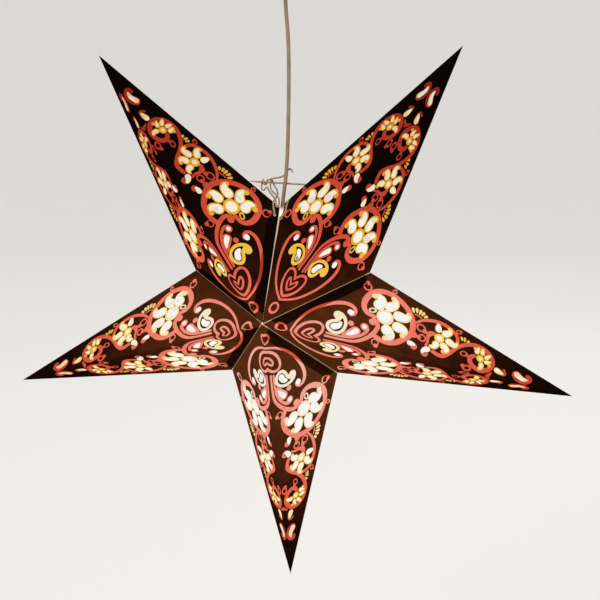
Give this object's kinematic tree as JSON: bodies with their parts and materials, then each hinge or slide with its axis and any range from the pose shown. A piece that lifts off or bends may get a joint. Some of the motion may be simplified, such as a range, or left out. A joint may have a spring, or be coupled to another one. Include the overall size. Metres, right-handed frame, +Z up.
{
  "type": "paper star lantern",
  "caption": "Hanging lantern of folded die-cut paper points glued into a deep star, on a lamp cord with a holder, bulb and ceiling rose.",
  "frame": {"origin": "centre of the ceiling rose's back face, where the lantern is screwed to the ceiling", "axes": "+Z up, out of the rose's back face into the ceiling; the lantern hangs along -Z, its front looks along -Y"},
  "size_m": [0.6086, 0.2092, 0.676],
  "materials": {
    "printed_paper": "dark brown print with red and yellow ornament, white inside",
    "string": "twisted natural string",
    "toothpick_wood": "bare",
    "cord_sleeve": "matt sheath, pale",
    "holder_plastic": "dark brown thermoset, moulded",
    "opal_glass": "opal, lit",
    "rose_plastic": "moulded",
    "terminal_plastic": "moulded"
  },
  "bodies": {
    "root": {"point_upper_left": "printed_paper", "point_upper_right": "printed_paper", "point_right": "printed_paper", "point_bottom": "printed_paper", "point_left": "printed_paper", "tie_string": "string", "toothpick": "toothpick_wood", "lamp_cord": "cord_sleeve", "holder_cap": "holder_plastic", "holder_body": "holder_plastic", "bulb": "opal_glass", "rose_base": "rose_plastic", "rose_cover": "rose_plastic", "rose_grip": "rose_plastic", "rose_terminal": "terminal_plastic"}
  },
  "joints": []
}
